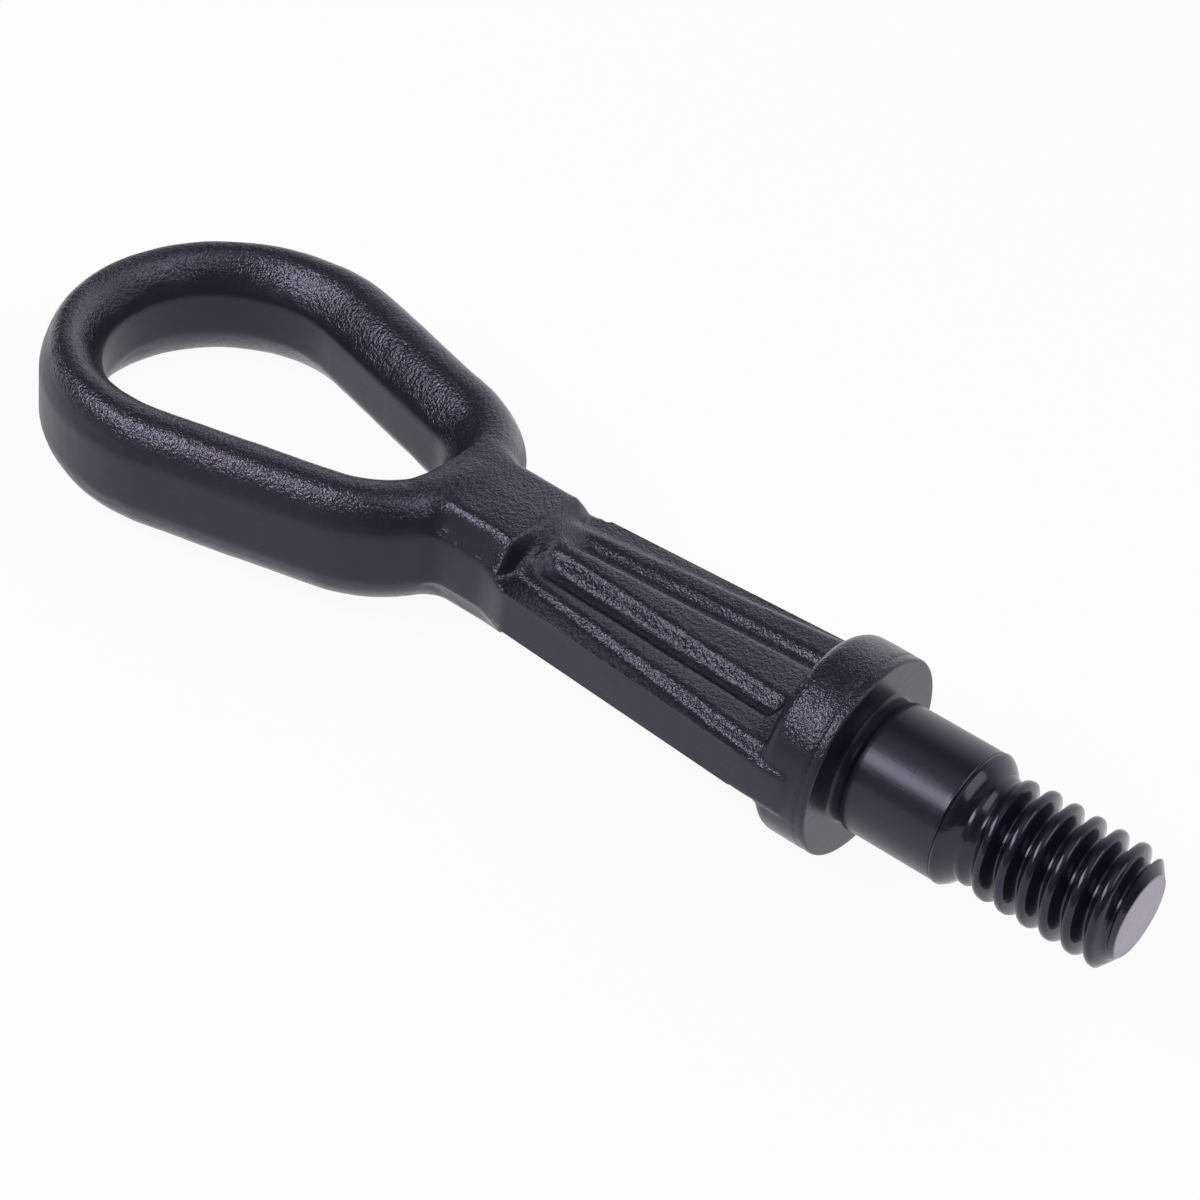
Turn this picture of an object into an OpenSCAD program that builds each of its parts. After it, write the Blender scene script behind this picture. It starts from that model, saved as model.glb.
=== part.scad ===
// Screw-in tow eye, one forged and machined piece, in millimetres.
// The X axis runs through the shank, with the threaded tip at the +X end.
// The origin is the centre of the collar's seat face, and the ring lies in the XY plane.

/* [Ring] */
// Radius of the wide end of the opening
eye_r = 18.5; // [16:0.5:21]
// Radius of the narrow end of the opening
eye_small_r = 10; // [8:0.5:12]
// Distance between the centres of the two end arcs
eye_gap = 31; // [28:1:38]
// Distance from the seat face to the centre of the narrow arc
eye_reach = 91.3; // [88:0.1:96]
// Width of the bar at the far end, measured in the ring plane
bar_end_w = 9.4; // [8:0.2:11]
// Width of the bar at the sides, measured in the ring plane
bar_side_w = 11.7; // [10:0.1:13]
// Thickness of the bar, square to the ring plane
bar_t = 20.2; // [17:0.2:22]
// Height of the trimmed band that runs round the whole forging
trim_h = 7.4; // [5:0.2:8]

/* [Neck] */
// Thickness across the flat top and bottom of the neck
neck_t = 18; // [16:0.5:20]
// Fall of the flat top from its middle to its edge
neck_fall = 0.2; // [0.1:0.05:0.4]
// Width of the flat top
neck_top_w = 14.4; // [12:0.2:17]
// Width over the trimmed sides
neck_w = 25; // [23:0.5:27]
// Distance from the seat face to the end of the flat top
neck_reach = 59.4; // [56:0.2:62]
// Radius of the corners between neck and ring
crotch_r = 7; // [4:0.5:9]

/* [Shank] */
// Width over the trimmed sides where the shank leaves the neck
shank_w_neck = 24; // [21:0.5:25]
// Width over the trimmed sides where the shank meets the collar
shank_w_collar = 30.4; // [28:0.2:31]
// Width of the centre rib at the neck
rib_w_neck = 4.2; // [3:0.2:6]
// Width of the centre rib at the collar
rib_w_collar = 13; // [9:0.2:14]
// Thickness across the two centre ribs
rib_t = 12.8; // [11:0.2:14]
// Distance between the outer rims at the neck
rim_w_neck = 15.2; // [14:0.2:17]
// Distance between the outer rims at the collar
rim_w_collar = 26.8; // [24:0.2:28]
// Thickness across the outer rims at the neck
rim_t_neck = 8.4; // [8.2:0.2:10]
// Thickness across the outer rims at the collar
rim_t_collar = 10.8; // [10:0.2:12]
// Thickness of the web between the pockets at the neck
web_t_neck = 4.4; // [3:0.2:6]
// Thickness of the web between the pockets at the collar
web_t_collar = 6.6; // [5:0.2:8]
// Distance from the seat face to the closed end of the pockets
pocket_reach = 11.4; // [10.6:0.2:14]

/* [Collar] */
// Diameter of the collar
collar_d = 31; // [31:0.5:34]
// Length of the collar along the axis
collar_len = 9.4; // [8:0.2:10]
// Radius of the rounded back edge
collar_back_r = 3; // [1:0.5:4]
// Chamfer at the rim of the seat face
collar_c = 0.35; // [0.2:0.05:0.8]

/* [Pin] */
// Diameter of the plain shoulder pin
pin_d = 20; // [19:0.1:20.6]
// Distance from the seat face to the end of the plain pin
pin_len = 16.8; // [14:0.2:18]
// Diameter of the relief groove beside the seat face
relief_d = 19.2; // [18:0.1:19.6]
// Width of the relief groove
relief_w = 1.9; // [1:0.1:2.5]
// Width of the two slopes beside the relief groove
relief_c = 0.35; // [0.2:0.05:0.6]
// Length of the rounded shoulder after the plain pin
bead_len = 1.5; // [1:0.1:2]
// Height that the rounded shoulder stands over the plain pin
bead_h = 0.25; // [0.1:0.05:0.4]

/* [Thread] */
// Outside diameter of the thread
thread_d = 17.9; // [17:0.1:18.4]
// Depth of the thread
thread_depth = 2.1; // [1.6:0.1:2.3]
// Pitch of the thread
pitch = 3.58; // [3:0.02:4]
// Distance from the seat face to the flat tip
tip_reach = 44; // [40:0.5:50]
// Diameter of the flat tip face
tip_d = 12.4; // [11:0.2:13]
// Length of the tip's bevel
tip_bevel = 2.1; // [1:0.1:3]

/* [Hidden] */
steel = [0.12, 0.12, 0.14];
// The bar's section is an ellipse that is wider than the bar by this factor before trimming
over_trim = 1 / sqrt(1 - pow(trim_h / bar_t, 2));
trim_angle = acos(1 / over_trim);
wide_x = -eye_reach - eye_gap;
lean = asin((eye_r - eye_small_r) / eye_gap);
out_r = eye_r + bar_side_w;
out_shift = bar_side_w - bar_end_w;
out_gap = eye_gap - out_shift;
out_small_r = out_r - sin(lean) * out_gap;
ring_step = 6;
small_step = 9;
bar_steps = 10;
neck_x = -neck_reach;
pocket_x = -pocket_reach;
// The forging starts inside the ring's bar and ends inside the collar
forge_start = -eye_reach + sqrt(pow(out_small_r, 2) - pow(neck_w / 2 + crotch_r * 0.6, 2)) - 0.8;
forge_end = -collar_len + collar_back_r + 1;
// Lengths over which the pocket walls run
wall_run = 1.8;
rib_drop = 7;
end_run = 1.6;
rib_slope = 1.6;
rim_slope = 1.9;
// Corner roundings of the shank's section, as the length cut from each side
rib_round = 1.1;
floor_round = 1.5;
rim_round = 1.3;
side_round = 0.7;
// Rise of the rib's top from its edges to its middle
rib_crown = 0.05;
corner_steps = 3;
// Thread mesh
turn_steps = 32;
thread_start = pin_len - 3.4;
thread_turns = ceil((tip_reach + 1.5 - thread_start) / pitch);
crest_points = [[0, 1], [0.08, 0.93], [0.15, 0.72], [0.36, 0.14], [0.5, 0], [0.64, 0.14], [0.85, 0.72], [0.92, 0.93]];
runout_len = 6.5;
runout_part = 0.5;
big = 60;
back_steps = 8;
bead_steps = 6;

function mix(a, b, t) = a + (b - a) * t;
function clip(t) = min(1, max(0, t));
function ease(t) = clip(t) * clip(t) * (3 - 2 * clip(t));
function flat_list(lists) = [for (l = lists) for (p = l) p];

// Ring: each section is an elliptic bar between the inner and the outer outline
function out_point(a, cx, r) = [cx + r * cos(a), r * sin(a)];
function bar_section(a, cx_in, r_in, cx_out, r_out) =
  let (p = out_point(a, cx_in, r_in), q = out_point(a, cx_out, r_out))
  flat_list([for (side = [1, -1])
    [for (k = [0:bar_steps])
      let (t = mix(trim_angle, 180 - trim_angle, side > 0 ? 1 - k / bar_steps : k / bar_steps))
      let (u = 0.5 - 0.5 * over_trim * cos(t), z = side * bar_t / 2 * sin(t))
      [mix(p[0], q[0], u), mix(p[1], q[1], u), z]]]);
small_count = ceil((180 - 2 * lean) / small_step);
wide_count = ceil((180 + 2 * lean) / ring_step);
ring_sections = concat(
  [for (i = [0:small_count]) bar_section(mix(lean - 90, 90 - lean, i / small_count),
    -eye_reach, eye_small_r, -eye_reach, out_small_r)],
  [for (i = [0:wide_count]) bar_section(mix(90 - lean, 270 + lean, i / wide_count),
    wide_x, eye_r, wide_x + out_shift, out_r)]);

// Faces between closed sections that follow each other
function tube_faces(sections, points, closed) =
  flat_list([for (i = [0:sections - (closed ? 1 : 2)]) for (j = [0:points - 1])
    let (a = i * points + j, b = i * points + (j + 1) % points)
    let (c = ((i + 1) % sections) * points + j, d = ((i + 1) % sections) * points + (j + 1) % points)
    [[a, b, d], [a, d, c]]]);

module ring() {
  color(steel)
    polyhedron(points = flat_list(ring_sections),
      faces = tube_faces(len(ring_sections), 2 * (bar_steps + 1), true), convexity = 8);
}

// Shank and neck: one quarter of the section is a run of corners, each rounded
function taper(a, b, x) = mix(a, b, clip((x - neck_x) / (-collar_len - neck_x)));
function wall(x) = ease((x - neck_x) / wall_run);
function rib_wall(x) = ease((x - neck_x) / rib_drop);
function pocket(x) = wall(x) * ease((pocket_x - x) / end_run);
function crotch(x) =
  let (past = (neck_x - 12 - x) / crotch_r)
  past <= 0 ? 0 : crotch_r * (1 - sqrt(1 - pow(min(past, 0.95), 2)));
function side_y(x) = mix(neck_w / 2, taper(shank_w_neck, shank_w_collar, x) / 2, wall(x)) + crotch(x);
function rib_y(x) = taper(rib_w_neck, rib_w_collar, x) / 2;
function rib_z(x) = mix(neck_t, rib_t, rib_wall(x)) / 2;
function rim_y(x) = mix(neck_top_w, taper(rim_w_neck, rim_w_collar, x), wall(x)) / 2;
function rim_z(x) = mix(neck_t - 2 * neck_fall, taper(rim_t_neck, rim_t_collar, x), wall(x)) / 2;
function closed_z(x, y) = rib_z(x) - (rib_z(x) - rim_z(x)) * pow((y - rib_y(x)) / (rim_y(x) - rib_y(x)), 2);
function floor_z(x, y) = mix(closed_z(x, y), taper(web_t_neck, web_t_collar, x) / 2, pocket(x));
function corners(x) = [
  [rib_y(x), rib_z(x), rib_round],
  [rib_y(x) + rib_slope, floor_z(x, rib_y(x) + rib_slope), floor_round],
  [rim_y(x) - rim_slope, floor_z(x, rim_y(x) - rim_slope), floor_round],
  [rim_y(x), rim_z(x), rim_round],
  [side_y(x), trim_h / 2, side_round]];
function toward(a, b, d) = let (v = b - a, l = norm(v)) a + v * min(0.48, d / l);
function rounded(a, b, c, d) =
  let (p = toward(b, a, d), q = toward(b, c, d))
  [for (k = [0:corner_steps]) let (t = k / corner_steps) p * (1 - t) * (1 - t) + b * 2 * t * (1 - t) + q * t * t];
function quarter(x) =
  let (c = corners(x))
  let (path = concat([[0, rib_z(x) + rib_crown]], [for (p = c) [p[0], p[1]]], [[side_y(x), 0]]))
  concat([[0, rib_z(x) + rib_crown]], flat_list([for (i = [0:len(c) - 1]) rounded(path[i], path[i + 1], path[i + 2], c[i][2])]));
function section(x) =
  let (q = quarter(x), n = len(q))
  concat(
    [for (i = [0:n - 1]) [x, q[i][0], q[i][1]]],
    [for (i = [n - 1:-1:0]) [x, q[i][0], -q[i][1]]],
    [for (i = [1:n - 1]) [x, -q[i][0], -q[i][1]]],
    [for (i = [n - 1:-1:1]) [x, -q[i][0], q[i][1]]]);
crotch_steps = 5;
wall_steps = 5;
end_steps = 4;
stations = concat(
  [for (i = [0:crotch_steps]) mix(forge_start, neck_x - 12, i / crotch_steps)],
  [for (i = [0:wall_steps]) neck_x + wall_run * i / wall_steps],
  [neck_x + rib_drop * 0.5, neck_x + rib_drop],
  [for (i = [0:end_steps]) pocket_x - end_run + end_run * i / end_steps],
  [forge_end]);

module shank() {
  sections = [for (x = stations) section(x)];
  count = len(sections[0]);
  total = len(stations);
  color(steel)
    polyhedron(points = flat_list(sections),
      faces = concat(tube_faces(total, count, false),
        [[for (i = [count - 1:-1:0]) i]],
        [[for (i = [0:count - 1]) (total - 1) * count + i]]), convexity = 10);
}

// Collar, relief groove, pin and rounded shoulder, turned about the X axis
collar_profile = concat(
  [[0, -collar_len]],
  [for (i = [0:back_steps]) let (a = -90 + 90 * i / back_steps)
    [collar_d / 2 - collar_back_r + collar_back_r * cos(a), -collar_len + collar_back_r + collar_back_r * sin(a)]],
  [[collar_d / 2, -collar_c],
   [collar_d / 2 - collar_c, 0],
   [relief_d / 2 + relief_c, 0],
   [relief_d / 2, relief_c],
   [relief_d / 2, relief_w],
   [pin_d / 2, relief_w + relief_c],
   [pin_d / 2, pin_len]],
  [for (i = [0:bead_steps]) let (a = 60 - 60 * i / bead_steps)
    [pin_d / 2 + bead_h - (1 - sin(30 + a)) * bead_len * 0.9, pin_len + bead_len * (1 - a / 60)]],
  [[0, pin_len + bead_len]]);

module turned() {
  color(steel)
    rotate([90, 0, 90])
    rotate_extrude()
    polygon(collar_profile);
}

// Thread: the rows of the mesh follow the helix, and both ends close on the axis
rows = len(crest_points);
function thread_r(x, part) =
  let (full = thread_d / 2 - thread_depth * (1 - part))
  let (root = thread_d / 2 - thread_depth)
  let (grow = mix(runout_part, 1, ease((x - pin_len) / runout_len)))
  root + (full - root) * grow;
thread_points = concat(
  [for (k = [0:rows * thread_turns]) for (j = [0:turn_steps - 1])
    let (p = crest_points[k % rows], x = thread_start + pitch * (floor(k / rows) + p[0] + j / turn_steps))
    let (r = thread_r(x, p[1]), a = -360 * j / turn_steps)
    [x, r * sin(a), r * cos(a)]],
  [[thread_start, 0, 0], [thread_start + pitch * (thread_turns + 1), 0, 0]]);
last_row = rows * thread_turns;
start_hub = len(thread_points) - 2;
end_hub = len(thread_points) - 1;
function thread_at(k, j) = (k + (j >= turn_steps ? rows : 0)) * turn_steps + j % turn_steps;
thread_faces = concat(
  [for (k = [0:last_row - 1]) for (j = [0:turn_steps - 1])
    if (j < turn_steps - 1 || k + 1 + rows <= last_row) [thread_at(k, j), thread_at(k + 1, j), thread_at(k + 1, j + 1)]],
  [for (k = [0:last_row - 1]) for (j = [0:turn_steps - 1])
    if (j < turn_steps - 1 || k + 1 + rows <= last_row) [thread_at(k, j), thread_at(k + 1, j + 1), thread_at(k, j + 1)]],
  [for (j = [0:turn_steps - 1]) [start_hub, thread_at(0, j), thread_at(0, j + 1)]],
  [for (k = [0:rows - 1]) [start_hub, thread_at(k + 1, 0), thread_at(k, 0)]],
  [for (j = [0:turn_steps - 2]) [end_hub, thread_at(last_row, j + 1), thread_at(last_row, j)]],
  [for (k = [last_row - rows:last_row - 1]) [end_hub, thread_at(k, turn_steps - 1), thread_at(k + 1, turn_steps - 1)]],
  [[end_hub, thread_at(last_row, 0), thread_at(last_row - rows, turn_steps - 1)]]);

tip_profile = [
  [0, -big],
  [big, -big],
  [big, tip_reach - tip_bevel - (big - thread_d / 2)],
  [thread_d / 2, tip_reach - tip_bevel],
  [tip_d / 2, tip_reach],
  [0, tip_reach]];

module thread() {
  color(steel)
    intersection() {
      polyhedron(points = thread_points, faces = thread_faces, convexity = 12);
      rotate([90, 0, 90])
        rotate_extrude()
        polygon(tip_profile);
    }
}

module tow_eye() {
  color(steel)
    union() {
      ring();
      shank();
      turned();
      thread();
    }
}

tow_eye();
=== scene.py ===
import math
import bpy
import numpy as np
from mathutils import Matrix, Vector


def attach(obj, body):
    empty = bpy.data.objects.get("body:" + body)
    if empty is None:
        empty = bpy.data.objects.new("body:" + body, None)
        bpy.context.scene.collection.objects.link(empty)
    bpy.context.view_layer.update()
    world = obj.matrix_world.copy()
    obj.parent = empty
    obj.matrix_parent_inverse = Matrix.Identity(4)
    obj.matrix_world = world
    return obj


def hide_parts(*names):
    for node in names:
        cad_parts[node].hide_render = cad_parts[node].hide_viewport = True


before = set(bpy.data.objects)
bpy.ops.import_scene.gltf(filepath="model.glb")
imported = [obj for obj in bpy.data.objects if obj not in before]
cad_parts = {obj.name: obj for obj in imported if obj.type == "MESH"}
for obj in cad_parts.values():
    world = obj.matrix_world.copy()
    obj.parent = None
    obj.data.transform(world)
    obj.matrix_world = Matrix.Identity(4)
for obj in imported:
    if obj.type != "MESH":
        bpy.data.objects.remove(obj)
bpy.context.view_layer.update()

MM = 0.001

# Sizes in millimetres, in the row frame: X along the shank, ring in the XY plane

# Opening: radius of its wide and narrow end, distance between them, narrow end to seat face
EYE_R, EYE_SMALL_R, EYE_GAP, EYE_REACH = 18.5, 10.0, 31.7, 91.3
# Ring bar: width at the far end and at the sides, height of the crest and its place across the bar
BAR_END_W, BAR_SIDE_W = 8.7, 11.7
BAR_CREST, CREST_AT = 9.6, 0.58
INNER_POWER, OUTER_POWER = 2.1, 2.6
# Half the height of the trimmed walls: in the opening, round the ring and at the neck
WALL_IN, WALL_OUT, NECK_TRIM = 3.6, 4.2, 3.7
# Neck: place of its end, height and half width of its flat face, half width at the parting plane
NECK_X, NECK_Z, NECK_TOP, NECK_SIDE = -59.4, 9.0, 7.5, 10.0
NECK_FOOT_Z, NECK_BACK = 4.1, -77.5
# Corner between neck and ring: distance from the neck's end, length and spread
CROTCH_START, CROTCH_RUN, CROTCH_SPREAD = 11.0, 8.0, 7.0
# Side walls pass from neck to shank from this far before the neck's end, over this length
SIDE_START, SIDE_CHANGE = 4.0, 8.0
# Slope from the neck down to the rims, level land before the pockets, slopes at the pockets' ends
WALL_RUN, LAND_RUN, POCKET_RUN, END_RUN = 1.8, 1.6, 4.0, 1.6
POCKET_X = -11.4
# Shank section at the neck and at the collar: distance from the middle plane, or height
SIDE_Y, SIDE_Z = (12.1, 15.7), (3.45, 3.15)
RIB_Y, RIB_Z = (1.0, 4.3), 5.7
POCKET_Y, POCKET_Z = (4.6, 7.3), (3.2, 3.7)
RIM_Y, RIM_Z = (7.2, 13.9), (4.3, 5.2)
RIB_SLOPE, RIM_SLOPE, SHOULDER_SLOPE = 1.3, 1.2, 0.9
COLLAR_R, COLLAR_LEN, COLLAR_BACK = 15.5, 9.4, 2.5
# The forged skin ends this far behind the seat face
COLLAR_CUT = 1.2
# Turned end
RELIEF_R = 9.6
PIN_R, PIN_LEN, BEAD_LEN, SLOPE_LEN = 10.0, 16.8, 1.5, 1.4
THREAD_R, THREAD_DEPTH, PITCH = 8.95, 2.1, 3.55
THREAD_START, RUNOUT_R, RUNOUT_LEN = 11.9, 8.1, 6.7
TIP_X, TIP_R, TIP_BEVEL = 44.0, 6.2, 2.1


# Smooth blends of two fields
def smax(a, b, k):
    h = np.clip(0.5 + 0.5 * (a - b) / k, 0.0, 1.0)
    return b + (a - b) * h + k * h * (1.0 - h)


def smin(a, b, k):
    return -smax(-a, -b, k)


def ease(t):
    t = np.clip(t, 0.0, 1.0)
    return t * t * (3.0 - 2.0 * t)


def mix(a, b, t):
    return a + (b - a) * t


def bump_field(axes, size, seed):
    """Smooth seeded noise of about unit height on the grid, with features of that size."""
    rng = np.random.default_rng(seed)
    sizes = size if isinstance(size, tuple) else (size, size, size)
    counts = [int(math.ceil((a[-1] - a[0]) / k)) + 4 for a, k in zip(axes, sizes)]
    field = rng.standard_normal(counts)
    for axis, (a, k) in enumerate(zip(axes, sizes)):
        t = (a - a[0]) / k + 1.0
        i = np.floor(t).astype(int)
        w = t - i
        weights = [((1 - w) ** 3) / 6, (3 * w ** 3 - 6 * w ** 2 + 4) / 6,
                   (-3 * w ** 3 + 3 * w ** 2 + 3 * w + 1) / 6, w ** 3 / 6]
        bands = [np.take(field, i + n - 1, axis=axis) for n in range(4)]
        form = [1] * field.ndim
        form[axis] = len(a)
        field = sum(band * wt.reshape(form) for band, wt in zip(bands, weights))
    return field / 0.45


# Ring: distance to the hull of two circles, for the inner and the outer outline
def teardrop(x, y, wide_x, wide_r, gap, small_r):
    px, py = np.abs(y), x - wide_x
    b = (wide_r - small_r) / gap
    a = math.sqrt(1.0 - b * b)
    k = -b * px + a * py
    wide = np.hypot(px, py) - wide_r
    small = np.hypot(px, py - gap) - small_r
    leg = a * px + b * py - wide_r
    return np.where(k < 0, wide, np.where(k > a * gap, small, leg))


WIDE_X = -EYE_REACH - EYE_GAP
LEAN = (EYE_R - EYE_SMALL_R) / EYE_GAP
OUT_R = EYE_R + BAR_SIDE_W
OUT_SHIFT = BAR_SIDE_W - BAR_END_W
OUT_GAP = EYE_GAP - OUT_SHIFT
OUT_SMALL_R = OUT_R - LEAN * OUT_GAP


def bar_height(u):
    """Height of the ring's skin at u, from 0 at the opening to 1 at the outer wall."""
    before = np.clip(1 - u / CREST_AT, 0, 1)
    after = np.clip((u - CREST_AT) / (1 - CREST_AT), 0, 1)
    inner = WALL_IN + (BAR_CREST - WALL_IN) * (1 - before ** INNER_POWER)
    outer = WALL_OUT + (BAR_CREST - WALL_OUT) * (1 - after ** OUTER_POWER)
    return np.where(u < CREST_AT, inner, outer)


def ring_maps(x, y):
    """Distance from the opening's edge and from the outer wall, and the height of the skin."""
    inside = teardrop(x, y, WIDE_X, EYE_R, EYE_GAP, EYE_SMALL_R)
    outside = teardrop(x, y, WIDE_X + OUT_SHIFT, OUT_R, OUT_GAP, OUT_SMALL_R)
    u = np.clip(inside / np.maximum(inside - outside, 1e-6), 0, 1)
    return inside, outside, bar_height(u)


# Neck and shank: the height of the upper skin over the ring plane
def taper(ends, x):
    return mix(ends[0], ends[1], np.clip((x - NECK_X) / (-COLLAR_LEN - NECK_X), 0, 1))


def side_change(x):
    return ease((x - NECK_X + SIDE_START) / SIDE_CHANGE)


def side_at(x):
    """Half the width over the trimmed side walls."""
    crotch = np.clip((NECK_X - CROTCH_START - x) / CROTCH_RUN, 0, 0.95)
    spread = CROTCH_SPREAD * (1 - np.sqrt(1 - crotch ** 2))
    return mix(NECK_SIDE, taper(SIDE_Y, x), side_change(x)) + spread


def trim_at(x):
    """Half the height of the trimmed side walls."""
    return mix(NECK_TRIM, taper(SIDE_Z, x), side_change(x))


def section_at(x):
    """Corners (distance from the middle, height) of half the upper skin at one x."""
    wall = float(ease((x - NECK_X) / WALL_RUN))
    low = float(ease((x - NECK_X) / (WALL_RUN + LAND_RUN)))
    pocket = float(ease((x - NECK_X - LAND_RUN) / POCKET_RUN) * ease((POCKET_X - x) / END_RUN))
    rib_y = float(taper(RIB_Y, x))
    rib_z = mix(NECK_Z, RIB_Z, low)
    rim_y = mix(NECK_TOP, float(taper(RIM_Y, x)), wall)
    rim_z = mix(NECK_Z - 0.2, float(taper(RIM_Z, x)), wall)
    pocket_y = float(taper(POCKET_Y, x))
    side = float(side_at(np.float64(x)))
    trim = float(trim_at(np.float64(x)))

    def closed(y):
        return rib_z - (rib_z - rim_z) * ((y - rib_y) / (rim_y - rib_y)) ** 2

    def floor(y):
        return mix(closed(y), float(taper(POCKET_Z, x)), pocket)

    rib_foot = rib_y + RIB_SLOPE
    crest = pocket_y + RIM_SLOPE
    foot = (mix(side - 0.2, rim_y + SHOULDER_SLOPE, wall), mix(NECK_FOOT_Z, trim + 0.12, wall))
    return [(0.0, rib_z + 0.05), (rib_y, rib_z), (rib_foot, floor(rib_foot)),
            (pocket_y, floor(pocket_y)), (crest, mix(closed(crest), rim_z - 0.15, pocket)),
            (rim_y, rim_z), foot, (side, trim), (side + 4.0, trim - 0.1)]


def shank_height(xs, ys):
    """Height of the upper skin on the grid: the corners of each section, rounded along Y."""
    fine = np.arange(-22.0, 22.01, 0.1)
    wide, tight = [np.exp(-0.5 * (np.arange(-20, 21) * 0.1 / s) ** 2) for s in (0.45, 0.3)]
    out = np.zeros((len(xs), len(ys)))
    for i, x in enumerate(xs):
        corners = section_at(float(np.clip(x, -78.0, -8.0)))
        rim_y = corners[5][0]
        line = np.interp(np.abs(fine), *zip(*corners))
        soft = np.convolve(np.pad(line, 20, mode="edge"), wide / wide.sum(), mode="valid")
        crisp = np.convolve(np.pad(line, 20, mode="edge"), tight / tight.sum(), mode="valid")
        part = ease((np.abs(fine) - rim_y - 0.1) / 0.4)
        out[i] = np.interp(ys, fine, mix(soft, crisp, part))
    return out


def slope_scale(h, xs, ys):
    """Turns a height difference into about the distance from the sloping skin."""
    gx, gy = np.gradient(h, xs, ys)
    return 1.0 / np.sqrt(1.0 + np.minimum(gx * gx + gy * gy, 30.0))


def axis_points(*spans):
    """Grid lines over spans of (from, to, step) that follow each other."""
    out = [np.linspace(a, b, int(round((b - a) / step)), endpoint=False) for a, b, step in spans]
    return np.concatenate(out + [[spans[-1][1]]])


# Fine where the neck ends and beside the collar
XS = axis_points((-151.4, -62.4, 0.66), (-62.4, -54.4, 0.33), (-54.4, -14.4, 1.0), (-14.4, -0.6, 0.5))
YS = axis_points((-31.9, -16.3, 0.66), (-16.3, 16.3, 0.46), (16.3, 31.9, 0.66))
ZS = axis_points((-16.6, -10.0, 0.7), (-10.0, 10.0, 0.5), (10.0, 16.6, 0.7))


def forging_field():
    """Distance field of the forged body, negative inside."""
    x, y = np.meshgrid(XS, YS, indexing="ij")
    az = np.abs(ZS)[None, None, :]

    def plate(height, wall, blend):
        over = (az - height[..., None]) * slope_scale(height, XS, YS)[..., None]
        return smax(over, wall[..., None] + 0 * az, blend)

    inside, outside, ring_h = ring_maps(x, y)
    ring_wall = np.maximum(-inside, outside)
    shank_wall = np.maximum(np.abs(y) - side_at(x), np.maximum(NECK_BACK - x, x + 4.0))
    ring = plate(ring_h, ring_wall, 0.4)
    shank = plate(shank_height(XS, YS), shank_wall, 0.15)
    body = np.maximum(smin(ring, shank, 1.8), -inside[..., None])

    x = x[..., None]
    r = np.sqrt(y[..., None] ** 2 + ZS[None, None, :] ** 2)
    over_r = r - (COLLAR_R - COLLAR_BACK)
    over_x = (-COLLAR_LEN + COLLAR_BACK) - x
    beyond = np.hypot(np.maximum(over_r, 0), np.maximum(over_x, 0))
    collar = beyond + np.minimum(np.maximum(over_r, over_x), 0) - COLLAR_BACK
    body = np.maximum(smin(body, collar, 0.5), x + COLLAR_CUT)

    # Uneven skin, fading out on the trimmed walls and at the cut
    wall_distance = np.minimum(np.abs(ring_wall), np.abs(shank_wall))
    near_wall = 1 - np.clip(wall_distance / 0.6, 0, 1)
    axes = (XS, YS, ZS)
    dents = bump_field(axes, 5.0, 7) * 0.04 + bump_field(axes, (1.6, 2.6, 2.0), 11) * 0.03
    flat_end = ease((-COLLAR_CUT - 0.3 - x) / 0.5)
    return body + dents * (1 - 0.8 * near_wall[..., None]) * flat_end


def surface_nets(field, axes):
    """Closed quad mesh of the zero level, one vertex in each cell that it crosses."""
    neg = field < 0
    nx, ny, nz = field.shape
    cells = np.zeros((nx - 1, ny - 1, nz - 1), dtype=np.int8)
    for dx in (0, 1):
        for dy in (0, 1):
            for dz in (0, 1):
                cells += neg[dx:nx - 1 + dx, dy:ny - 1 + dy, dz:nz - 1 + dz]
    active = (cells > 0) & (cells < 8)
    idx = np.argwhere(active)
    number = -np.ones(cells.shape, dtype=np.int64)
    number[active] = np.arange(len(idx))
    total = np.zeros((len(idx), 3))
    hits = np.zeros(len(idx))
    corners = [(i % 2, i // 2 % 2, i // 4) for i in range(8)]
    for corner in corners:
        for axis in range(3):
            if corner[axis] == 0:
                start = np.array(corner)
                end = start.copy()
                end[axis] = 1
                at_start = field[tuple((idx + start).T)]
                at_end = field[tuple((idx + end).T)]
                crossed = (at_start < 0) != (at_end < 0)
                share = np.where(crossed, at_start / np.where(crossed, at_start - at_end, 1.0), 0.0)
                spot = start[None, :] + share[:, None] * (end - start)[None, :]
                total += spot * crossed[:, None]
                hits += crossed
    part = total / hits[:, None]
    verts = np.stack([a[i] + (a[i + 1] - a[i]) * w for a, i, w in zip(axes, idx.T, part.T)], 1)
    faces = []
    for axis in range(3):
        u, v = (axis + 1) % 3, (axis + 2) % 3
        last = field.shape[axis] - 1
        lower = np.take(neg, np.arange(last), axis=axis)
        upper = np.take(neg, np.arange(1, last + 1), axis=axis)
        edges = np.argwhere(lower != upper)
        edges = edges[(edges[:, u] > 0) & (edges[:, v] > 0)]
        edges = edges[(edges[:, u] < field.shape[u] - 1) & (edges[:, v] < field.shape[v] - 1)]
        step_u, step_v = np.eye(3, dtype=int)[[u, v]]
        around = (edges - step_u - step_v, edges - step_v, edges, edges - step_u)
        quad = np.stack([number[tuple(cell.T)] for cell in around], 1)
        flip = ~lower[tuple(edges.T)]
        quad[flip] = quad[flip][:, ::-1]
        faces.append(quad)
    return verts, np.concatenate(faces)


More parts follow.
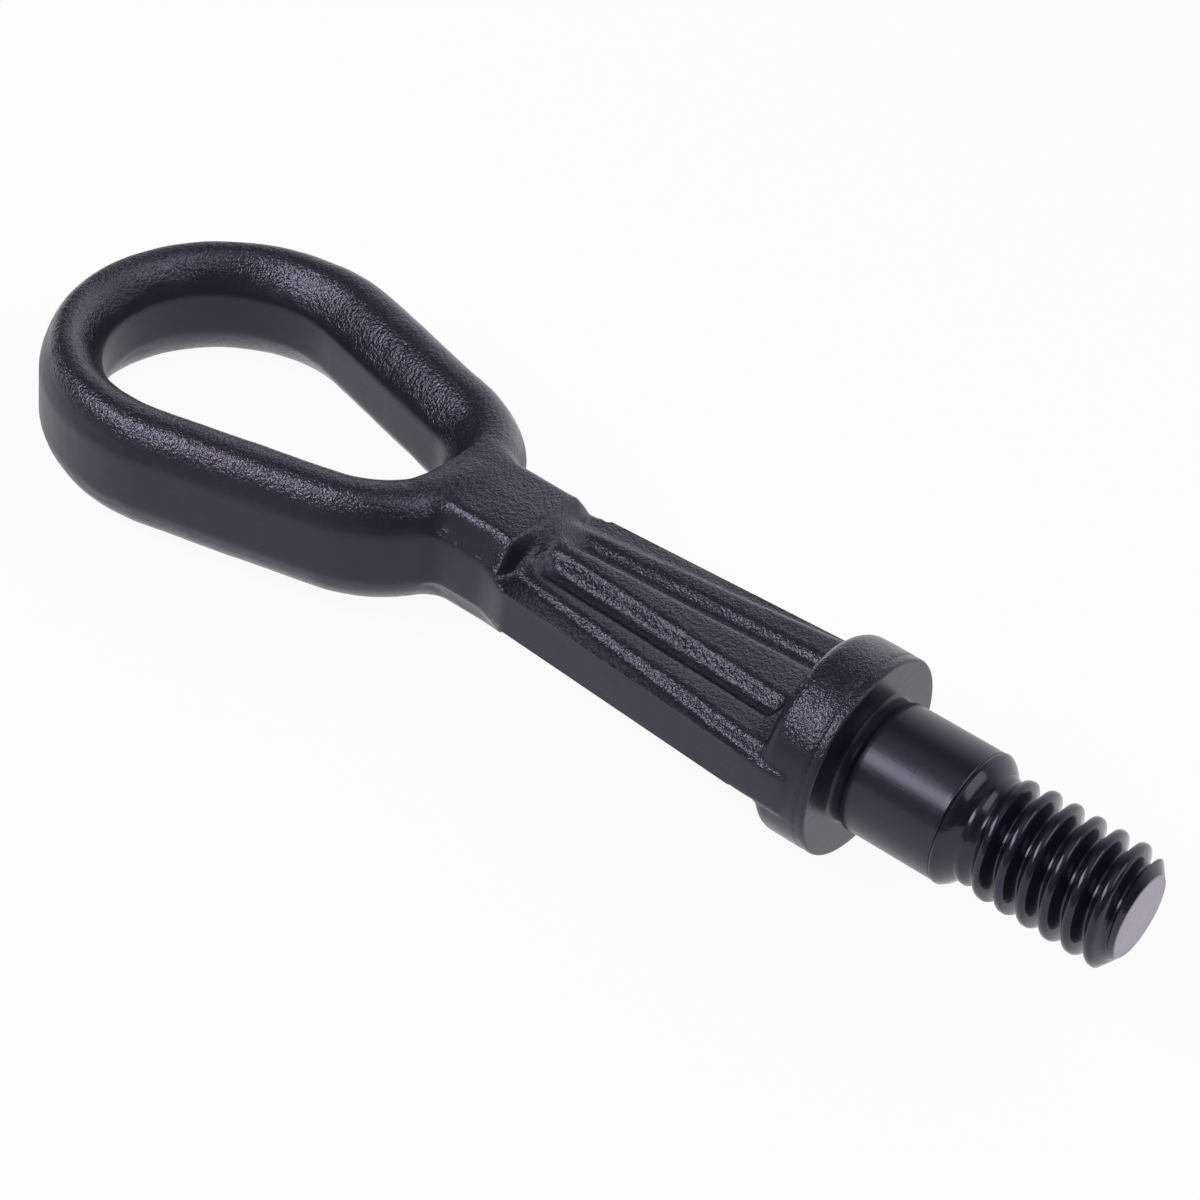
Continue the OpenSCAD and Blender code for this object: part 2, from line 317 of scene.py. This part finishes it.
def crisp_edges(verts):
    """Vertices beside the shank's trimmed edges move onto the edge lines."""
    x, y, z = verts.T
    side, trim = side_at(x), trim_at(x)
    reach = 0.42
    near_y = np.abs(np.abs(y) - side) < reach
    near_z = np.abs(np.abs(z) - trim) < reach
    hit = (x > -56) & (x < -12.6) & near_y & near_z
    out = verts.copy()
    out[hit, 1] = (np.sign(y) * side)[hit]
    out[hit, 2] = (np.sign(z) * trim)[hit]
    return out


# Turned end: closed surface of a profile of (x, radius) points that starts and ends on the axis
def lathe(profile, columns):
    outline = np.array(profile, float)
    rings = outline[1:-1]
    angle = 2 * math.pi * np.arange(columns) / columns
    points = np.stack([np.repeat(rings[:, 0], columns),
                       np.outer(rings[:, 1], np.cos(angle)).ravel(),
                       np.outer(rings[:, 1], np.sin(angle)).ravel()], 1)
    first, last = len(points), len(points) + 1
    verts = np.concatenate([points, [[outline[0, 0], 0, 0], [outline[-1, 0], 0, 0]]])
    faces = []
    for column in range(columns):
        beside = (column + 1) % columns
        faces.append((first, column, beside))
        faces.append((last, first - columns + beside, first - columns + column))
        for row in range(0, first - columns, columns):
            faces.append((row + column, row + columns + column, row + columns + beside, row + beside))
    return verts, faces


def turned_profile():
    """Collar's rim, seat face, relief groove, pin, bead and slope, inside the thread's start."""
    rim_r = COLLAR_R - 0.03
    rows = [(-3.0, 0.0), (-3.0, 14.0), (-1.6, COLLAR_R - 0.5), (-1.45, rim_r), (-0.9, rim_r),
            (-0.35, rim_r), (-0.12, COLLAR_R - 0.14), (0.0, COLLAR_R - 0.35)]
    rows += [(0.0, r) for r in np.linspace(15.0, 10.2, 10)]
    rows += [(0.05, 9.95), (0.2, 9.7), (0.45, RELIEF_R), (0.9, RELIEF_R), (1.5, RELIEF_R),
             (1.9, 9.62), (2.05, 9.72), (2.25, 9.94), (2.4, PIN_R)]
    rows += [(x, PIN_R) for x in np.linspace(3.4, PIN_LEN - 0.15, 14)]
    bead = [(0.0, -0.12), (0.15, 0.02), (0.35, 0.12), (0.65, 0.08), (0.9, -0.08), (BEAD_LEN, -0.5)]
    rows += [(PIN_LEN + x, PIN_R + r) for x, r in bead]
    end = PIN_LEN + BEAD_LEN
    rows += [(end + SLOPE_LEN * t, mix(PIN_R - 0.5, RUNOUT_R - 0.1, t)) for t in (0.33, 0.66, 1.0)]
    rows += [(end + SLOPE_LEN, 0.0)]
    return rows


def thread_solid(columns, per_pitch):
    """Closed right-hand helix of ridges that grow out of the run-out's core."""
    start = THREAD_START
    turns = int(math.ceil((TIP_X + 1.5 - start) / PITCH))
    rows = per_pitch * turns
    turn = np.arange(rows + 1) / per_pitch
    part_turn = np.arange(columns) / columns
    x = start + PITCH * (turn[:, None] + part_turn[None, :])
    phase = np.abs((turn % 1.0) - 0.5) * 2
    flank = np.clip((phase - 0.14) / 0.62, 0, 1)
    form = ease(flank) * 0.45 + flank * 0.55
    grow = ease((x - PIN_LEN - BEAD_LEN) / RUNOUT_LEN)
    r = mix(RUNOUT_R, THREAD_R - THREAD_DEPTH * (1 - form[:, None]), grow)
    angle = -2 * math.pi * np.arange(columns) / columns
    points = np.stack([x, r * np.sin(angle), r * np.cos(angle)], 2).reshape(-1, 3)
    verts = np.concatenate([points, [[start, 0, 0], [start + PITCH * (turns + 1), 0, 0]]])
    near_hub, far_hub = len(points), len(points) + 1

    def at(row, column):
        if column >= columns:
            row, column = row + per_pitch, column - columns
        return row * columns + column

    faces = []
    for row in range(rows):
        for column in range(columns):
            if column < columns - 1 or row + 1 + per_pitch <= rows:
                faces.append((at(row, column), at(row + 1, column), at(row + 1, column + 1)))
                faces.append((at(row, column), at(row + 1, column + 1), at(row, column + 1)))
    for column in range(columns):
        faces.append((near_hub, at(0, column), at(0, column + 1)))
    for row in range(per_pitch):
        faces.append((near_hub, at(row + 1, 0), at(row, 0)))
    for column in range(columns - 1):
        faces.append((far_hub, at(rows, column + 1), at(rows, column)))
    for row in range(rows - per_pitch, rows):
        faces.append((far_hub, at(row, columns - 1), at(row + 1, columns - 1)))
    faces.append((far_hub, at(rows, 0), at(rows - per_pitch, columns - 1)))
    return verts, faces


def make_object(name, verts, faces):
    """Object with a mesh of points in millimetres."""
    mesh = bpy.data.meshes.new(name)
    mesh.from_pydata((np.asarray(verts) * MM).tolist(), [], [tuple(int(i) for i in f) for f in faces])
    mesh.validate()
    mesh.update()
    obj = bpy.data.objects.new(name, mesh)
    bpy.context.scene.collection.objects.link(obj)
    return obj


def combine(obj, other, operation):
    """obj becomes the union or intersection of the two closed meshes."""
    mod = obj.modifiers.new("join", "BOOLEAN")
    mod.operation = operation
    mod.solver = "MANIFOLD"
    mod.object = other
    deps = bpy.context.evaluated_depsgraph_get()
    mesh = bpy.data.meshes.new_from_object(obj.evaluated_get(deps))
    obj.modifiers.clear()
    obj.data = mesh
    bpy.data.objects.remove(other)
    return obj


verts, quads = surface_nets(forging_field(), (XS, YS, ZS))
eye = make_object("tow_eye_forging", crisp_edges(verts), quads)
turned = make_object("turned", *lathe(turned_profile(), 180))
thread = make_object("thread", *thread_solid(108, 13))
# The thread is cut off at the tip face and its bevel
bevel_x = TIP_X - TIP_BEVEL
tip_profile = [(-40, 0), (-40, 30), (bevel_x - 22, 31), (bevel_x, THREAD_R),
               (TIP_X - 0.15, TIP_R + 0.18), (TIP_X, TIP_R), (TIP_X, 0)]
envelope = make_object("envelope", *lathe(tip_profile, 120))
thread = combine(thread, envelope, "INTERSECT")
turned = combine(turned, thread, "UNION")
eye = combine(eye, turned, "UNION")
eye.name = "tow_eye_body"
eye.data.name = "tow_eye_body"


def smooth_range(nodes, links, source, low, high, out_low, out_high):
    """Output of a smooth step from one range of values to another."""
    node = nodes.new("ShaderNodeMapRange")
    node.interpolation_type = "SMOOTHSTEP"
    for name, value in zip(("From Min", "From Max", "To Min", "To Max"), (low, high, out_low, out_high)):
        node.inputs[name].default_value = value
    links.new(source, node.inputs["Value"])
    return node.outputs["Result"]


def coat_material():
    """Black coat: grainy over the forged skin, smooth on trimmed walls, glossy on the turned end."""
    mat = bpy.data.materials.new("black_coat")
    mat.use_nodes = True
    nodes, links = mat.node_tree.nodes, mat.node_tree.links
    bsdf = nodes["Principled BSDF"]
    coord = nodes.new("ShaderNodeTexCoord")

    def ramp(source, low, high, out_low=0.0, out_high=1.0):
        return smooth_range(nodes, links, source, low, high, out_low, out_high)

    def combine_values(operation, a, b):
        node = nodes.new("ShaderNodeMath")
        node.operation = operation
        for socket, value in zip(node.inputs, (a, b)):
            if isinstance(value, float):
                socket.default_value = value
            else:
                links.new(value, socket)
        return node.outputs[0]

    def noise(scale, detail, stretch=(1, 1, 1)):
        mapping = nodes.new("ShaderNodeMapping")
        mapping.inputs["Scale"].default_value = stretch
        links.new(coord.outputs["Object"], mapping.inputs["Vector"])
        node = nodes.new("ShaderNodeTexNoise")
        node.inputs["Scale"].default_value = scale
        node.inputs["Detail"].default_value = detail
        links.new(mapping.outputs["Vector"], node.inputs["Vector"])
        return node.outputs["Fac"]

    def bump(height, distance, strength, below=None):
        node = nodes.new("ShaderNodeBump")
        node.inputs["Distance"].default_value = distance
        if isinstance(strength, float):
            node.inputs["Strength"].default_value = strength
        else:
            links.new(strength, node.inputs["Strength"])
        links.new(height, node.inputs["Height"])
        if below is not None:
            links.new(below, node.inputs["Normal"])
        return node.outputs["Normal"]

    place = nodes.new("ShaderNodeSeparateXYZ")
    links.new(coord.outputs["Object"], place.inputs[0])
    facing = nodes.new("ShaderNodeSeparateXYZ")
    links.new(coord.outputs["Normal"], facing.inputs[0])
    turned_part = ramp(place.outputs["X"], -0.00035, -0.0001)
    upright = nodes.new("ShaderNodeMath")
    upright.operation = "ABSOLUTE"
    links.new(facing.outputs["Z"], upright.inputs[0])
    skin = ramp(upright.outputs[0], 0.35, 0.62)
    forged = combine_values("MULTIPLY", skin, combine_values("SUBTRACT", 1.0, turned_part))
    dent_share = combine_values("MULTIPLY", forged, 0.3)
    smooth = combine_values("SUBTRACT", 1.0, forged)
    turned_marks = combine_values("MULTIPLY", turned_part, 0.6)
    dents = bump(noise(480, 2.0, (1.0, 0.55, 0.8)), 0.0003, dent_share)
    grain = bump(noise(1700, 2.0, (1.3, 0.7, 1.0)), 0.00017, forged, dents)
    fine = bump(noise(3400, 1.0), 0.0001, forged, grain)
    streaks = bump(noise(300, 2.0, (0.35, 0.35, 3.0)), 0.00004, smooth, fine)
    marks = bump(noise(260, 3.0, (14.0, 0.4, 0.4)), 0.00004, turned_marks, streaks)
    links.new(marks, bsdf.inputs["Normal"])
    rough = combine_values("SUBTRACT", 0.40, combine_values("MULTIPLY", turned_part, 0.11))
    rough = combine_values("SUBTRACT", rough, combine_values("MULTIPLY", forged, 0.2))
    rough = combine_values("SUBTRACT", rough, ramp(place.outputs["X"], 0.0155, 0.0175, 0.0, 0.12))
    links.new(rough, bsdf.inputs["Roughness"])
    # The skin shines less on the shank than on the ring
    shank_part = ramp(place.outputs["X"], -0.061, -0.054)
    ring_gloss = combine_values("SUBTRACT", 0.36, combine_values("MULTIPLY", shank_part, 0.18))
    gloss = combine_values("ADD", 0.6, combine_values("MULTIPLY", forged, ring_gloss))
    links.new(gloss, bsdf.inputs["Specular IOR Level"])
    bsdf.inputs["Specular Tint"].default_value = (0.80, 0.755, 1.0, 1)
    # The cut end face is paler than the coat
    tip_face = ramp(place.outputs["X"], 0.04385, 0.04395)
    scratches = combine_values("MULTIPLY", noise(900, 3.0, (1.0, 0.25, 2.0)), 0.5)
    paleness = combine_values("MULTIPLY", tip_face, combine_values("ADD", scratches, 0.55))
    shade = nodes.new("ShaderNodeMix")
    shade.data_type = "RGBA"
    shade.inputs["A"].default_value = (0.009, 0.0082, 0.014, 1)
    shade.inputs["B"].default_value = (0.30, 0.27, 0.37, 1)
    links.new(paleness, shade.inputs["Factor"])
    result = [socket for socket in shade.outputs if socket.type == "RGBA"][0]
    links.new(result, bsdf.inputs["Base Color"])
    return mat


coat = coat_material()
eye.data.materials.clear()
eye.data.materials.append(coat)
for p in eye.data.polygons:
    p.use_smooth = True
eye.data.set_sharp_from_angle(angle=math.radians(34))
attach(eye, "root")
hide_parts("tow_eye")


def floor_material():
    """Pale floor with a light shadow, mostly plain white to the camera and in reflections."""
    mat = bpy.data.materials.new("floor")
    mat.use_nodes = True
    nodes, links = mat.node_tree.nodes, mat.node_tree.links
    lit = nodes["Principled BSDF"]
    lit.inputs["Base Color"].default_value = (0.9, 0.9, 0.9, 1)
    lit.inputs["Roughness"].default_value = 0.9
    plain = nodes.new("ShaderNodeEmission")
    plain.inputs["Strength"].default_value = 1.0
    rays = nodes.new("ShaderNodeLightPath")
    seen = rays.outputs["Is Camera Ray"]
    for kind in ("Is Glossy Ray", "Is Transmission Ray"):
        either = nodes.new("ShaderNodeMath")
        either.operation = "MAXIMUM"
        links.new(seen, either.inputs[0])
        links.new(rays.outputs[kind], either.inputs[1])
        seen = either.outputs[0]
    share = nodes.new("ShaderNodeMath")
    share.operation = "MULTIPLY"
    share.inputs[1].default_value = 0.93
    links.new(seen, share.inputs[0])
    blend = nodes.new("ShaderNodeMixShader")
    links.new(share.outputs[0], blend.inputs[0])
    links.new(lit.outputs[0], blend.inputs[1])
    links.new(plain.outputs[0], blend.inputs[2])
    links.new(blend.outputs[0], nodes["Material Output"].inputs["Surface"])
    return mat


# Floor: touches the collar's rim and the ring's underside, so it is tilted in the row frame
FLOOR_HALF = 6.0
mesh = bpy.data.meshes.new("floor")
corners = [(x * FLOOR_HALF, y * FLOOR_HALF, 0) for x, y in ((-1, -1), (1, -1), (1, 1), (-1, 1))]
mesh.from_pydata(corners, [], [(0, 1, 2, 3)])
mesh.materials.append(floor_material())
floor = bpy.data.objects.new("floor", mesh)
bpy.context.scene.collection.objects.link(floor)
floor.location = (0, 0, -(COLLAR_R + 0.05) * MM)
floor.rotation_euler = (0, math.atan2(COLLAR_R - BAR_CREST, -WIDE_X), 0)

# World: white backdrop beyond the object, dark above and behind the camera, and white to the camera
world = bpy.data.worlds.new("studio")
bpy.context.scene.world = world
world.use_nodes = True
nodes, links = world.node_tree.nodes, world.node_tree.links
background = nodes["Background"]
background.inputs["Color"].default_value = (1, 1, 1, 1)
around = nodes.new("ShaderNodeTexCoord")
parts = nodes.new("ShaderNodeSeparateXYZ")
links.new(around.outputs["Generated"], parts.inputs[0])


def world_ramp(axis, low, high, out_low, out_high):
    return smooth_range(nodes, links, parts.outputs[axis], low, high, out_low, out_high)


far_side = nodes.new("ShaderNodeMath")
far_side.operation = "ADD"
links.new(world_ramp("Y", 0.38, 0.95, 0.05, 1.0), far_side.inputs[0])
links.new(world_ramp("Y", -0.85, -0.45, 0.22, 0.06), far_side.inputs[1])
ceiling = nodes.new("ShaderNodeMath")
ceiling.operation = "MULTIPLY_ADD"
links.new(world_ramp("Z", 0.72, 0.88, 0.0, 0.4), ceiling.inputs[0])
links.new(world_ramp("Y", -0.05, 0.25, 1.0, 0.0), ceiling.inputs[1])
links.new(far_side.outputs[0], ceiling.inputs[2])
links.new(ceiling.outputs[0], background.inputs["Strength"])
white = nodes.new("ShaderNodeBackground")
white.inputs["Color"].default_value = (1, 1, 1, 1)
white.inputs["Strength"].default_value = 1.0
path = nodes.new("ShaderNodeLightPath")
blend = nodes.new("ShaderNodeMixShader")
links.new(path.outputs["Is Camera Ray"], blend.inputs[0])
links.new(background.outputs[0], blend.inputs[1])
links.new(white.outputs[0], blend.inputs[2])
links.new(blend.outputs[0], nodes["World Output"].inputs["Surface"])


def area_light(name, direction, distance, width, height, power):
    """Rectangular light at a distance from the middle of the eye, facing it."""
    data = bpy.data.lights.new(name, "AREA")
    data.shape = "RECTANGLE"
    data.size = width
    data.size_y = height
    data.energy = power
    obj = bpy.data.objects.new(name, data)
    bpy.context.scene.collection.objects.link(obj)
    d = Vector(direction).normalized()
    target = Vector((-0.05, 0, 0))
    obj.location = target + d * distance
    obj.rotation_euler = d.to_track_quat("Z", "Y").to_euler()
    return obj


area_light("key", (-0.43, -0.58, 0.69), 1.2, 0.9, 0.4, 7.2)
area_light("fill", (0.8, 0.2, 0.9), 1.4, 1.0, 1.0, 6)

# Camera fitted to the photo
camera_data = bpy.data.cameras.new("camera")
camera_data.sensor_width = 36.0
camera_data.lens = camera_data.sensor_width * 3185.2 / 1200.0
camera = bpy.data.objects.new("camera", camera_data)
bpy.context.scene.collection.objects.link(camera)
place = Vector((0.152165, -0.302586, 0.284596))
target = Vector((-0.047989, 0.000167, 0.0))
roll = math.radians(8.145)
back = (place - target).normalized()
level_right = Vector((0, 0, 1)).cross(back).normalized()
right = level_right * math.cos(roll) + back.cross(level_right) * math.sin(roll)
up = back.cross(right)
camera.matrix_world = Matrix.Translation(place) @ Matrix((right, up, back)).transposed().to_4x4()
camera_data.clip_start = 0.01
camera_data.clip_end = 20
bpy.context.scene.camera = camera
bpy.context.scene.view_settings.view_transform = "Standard"
